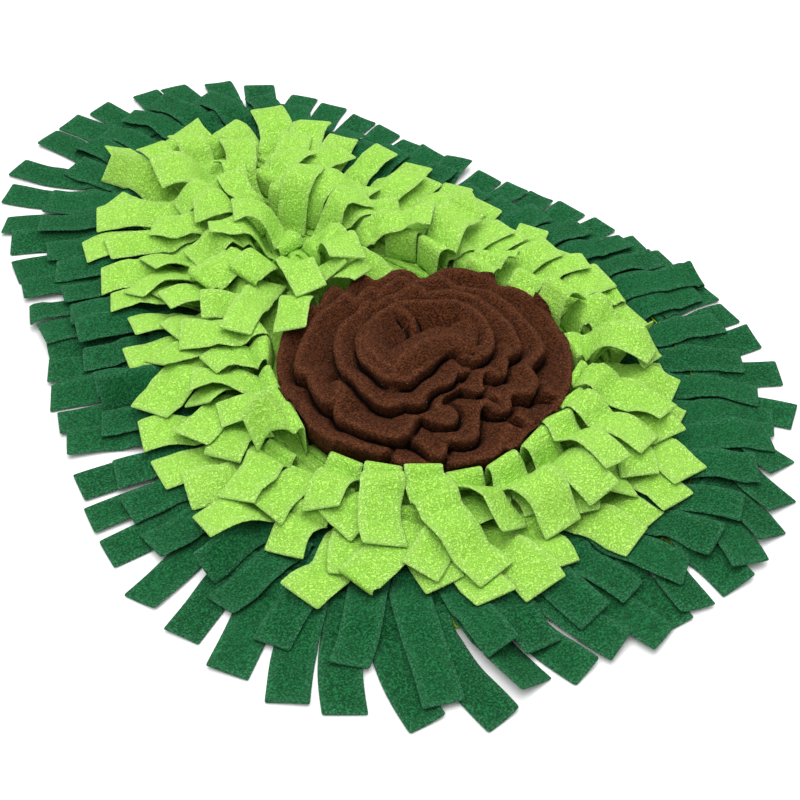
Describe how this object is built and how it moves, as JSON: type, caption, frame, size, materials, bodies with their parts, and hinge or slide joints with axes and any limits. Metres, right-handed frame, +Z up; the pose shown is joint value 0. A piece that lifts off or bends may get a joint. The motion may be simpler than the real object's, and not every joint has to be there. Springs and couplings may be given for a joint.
{
  "type": "snuffle mat",
  "caption": "Flat pear-shaped felt mat with rings of slit fleece fringe in two greens and a wound, ruffled brown fleece rosette for hiding dry treats.",
  "frame": {"origin": "on the floor, under the middle of the mat's bounding box", "axes": "+Y along the mat towards its narrow end, +X to the right seen from above, +Z up out of the pile"},
  "size_m": [0.5034, 0.7274, 0.0467],
  "materials": {
    "yellow_green_felt": "matte felt",
    "dark_green_fleece": "matte fleece",
    "light_green_fleece": "matte fleece",
    "brown_fleece": "matte fleece"
  },
  "bodies": {
    "root": {"base": "yellow_green_felt", "dark_fringe_lower": "dark_green_fleece", "dark_fringe_upper": "dark_green_fleece", "light_fringe_outer": "light_green_fleece", "light_fringe_middle": "light_green_fleece", "light_fringe_inner": "light_green_fleece", "light_crown_row": "light_green_fleece", "light_ridge_row": "light_green_fleece", "light_peak_row": "light_green_fleece", "brown_rosette": "brown_fleece"}
  },
  "joints": []
}
